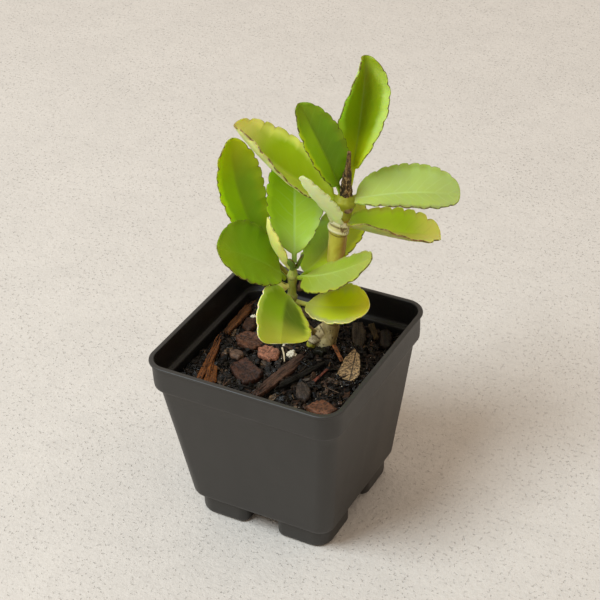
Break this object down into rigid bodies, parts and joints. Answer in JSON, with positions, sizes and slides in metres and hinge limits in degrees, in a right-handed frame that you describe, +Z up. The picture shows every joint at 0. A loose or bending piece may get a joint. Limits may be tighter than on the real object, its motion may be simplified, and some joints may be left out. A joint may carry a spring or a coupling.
{
  "type": "potted succulent plant",
  "caption": "Potted kalanchoe: fleshy scalloped leaves on a woody stem with a dried tip and on a green side shoot, in bark mix in a square plastic nursery pot.",
  "frame": {"origin": "middle of the whole plant's width and depth, on the surface that the pot stands on; the middle of the pot is at X -7.7 mm, Y -4 mm", "axes": "+Z up; the pot's sides are square to X and Y; the picture looks from between -Y and +X, down at about 34 degrees"},
  "size_m": [0.117, 0.1097, 0.2181],
  "materials": {
    "pot_plastic": "dark moulded plastic, satin, with faint scuffs and dust",
    "potting_mix": "wet dark bark compost, crumbly, with small glints",
    "woody_stem": "tan woody stem, matt, with ring scars and a shaded brown side",
    "dried_stem": "dry brown stem end, matt",
    "green_stem": "fresh green stem, satin",
    "withered_bract": "withered brown scrap, matt",
    "deep_leaf": "fleshy leaf, deep yellow green, satin, lighter midrib, thin dark red margin",
    "fresh_leaf": "fleshy leaf, fresh green, satin, lighter midrib, thin brown margin",
    "lime_leaf": "fleshy leaf, lime to olive, satin, thin red margin",
    "olive_leaf": "older fleshy leaf, olive with yellow patches, satin",
    "pale_leaf": "pale green underside of a fleshy leaf, satin",
    "young_leaf": "small dark young leaf, satin",
    "root": "pale thin root, matt",
    "perlite": "white expanded grain, matt",
    "orange_bark": "orange brown bark sliver, fibrous",
    "red_bark": "red brown bark chunk, matt",
    "grey_bark": "grey weathered bark chip, matt",
    "salmon_bark": "salmon pink bark chip, matt",
    "brown_bark": "dark brown bark strip, fibrous",
    "black_bark": "wet black bark or charcoal, a little glossy",
    "twig": "grey brown twig, matt",
    "dry_leaf": "dry straw coloured scrap of leaf, matt"
  },
  "bodies": {
    "root": {"pot": "pot_plastic", "potting_mix": "potting_mix", "main_stem": "woody_stem", "dried_stem_tip": "dried_stem", "side_shoot": "green_stem", "withered_bract": "withered_bract", "leaf_top": "deep_leaf", "leaf_upper_left": "deep_leaf", "leaf_left": "lime_leaf", "leaf_front": "pale_leaf", "leaf_right": "fresh_leaf", "leaf_lower_right": "lime_leaf", "leaf_behind_stem": "olive_leaf", "leaf_shoot_left": "fresh_leaf", "leaf_shoot_top": "fresh_leaf", "leaf_round_left": "deep_leaf", "leaf_sliver": "pale_leaf", "leaf_shoot_right": "fresh_leaf", "leaf_low_right": "olive_leaf", "leaf_low_front": "olive_leaf", "leaf_small": "pale_leaf", "leaf_young_right": "young_leaf", "leaf_young_left": "young_leaf", "pale_root": "root", "bark_long_orange": "orange_bark", "bark_orange_wedge": "orange_bark", "bark_red_square": "red_bark", "bark_grey_chip": "grey_bark", "bark_red_upper": "red_bark", "bark_salmon": "salmon_bark", "bark_red_left": "red_bark", "bark_brown_slab": "brown_bark", "bark_long_dark": "brown_bark", "bark_long_black": "black_bark", "bark_grey_round": "grey_bark", "stick_red": "salmon_bark", "twig_orange": "orange_bark", "bark_grey_right": "black_bark", "bark_purple_right": "black_bark", "bark_back_grey": "grey_bark", "bark_red_corner": "red_bark", "bark_front_chip": "brown_bark", "charcoal": "black_bark", "twig_stub": "twig", "dry_leaf": "dry_leaf", "perlite_1": "perlite", "perlite_2": "perlite", "perlite_3": "perlite", "perlite_4": "perlite"}
  },
  "joints": []
}
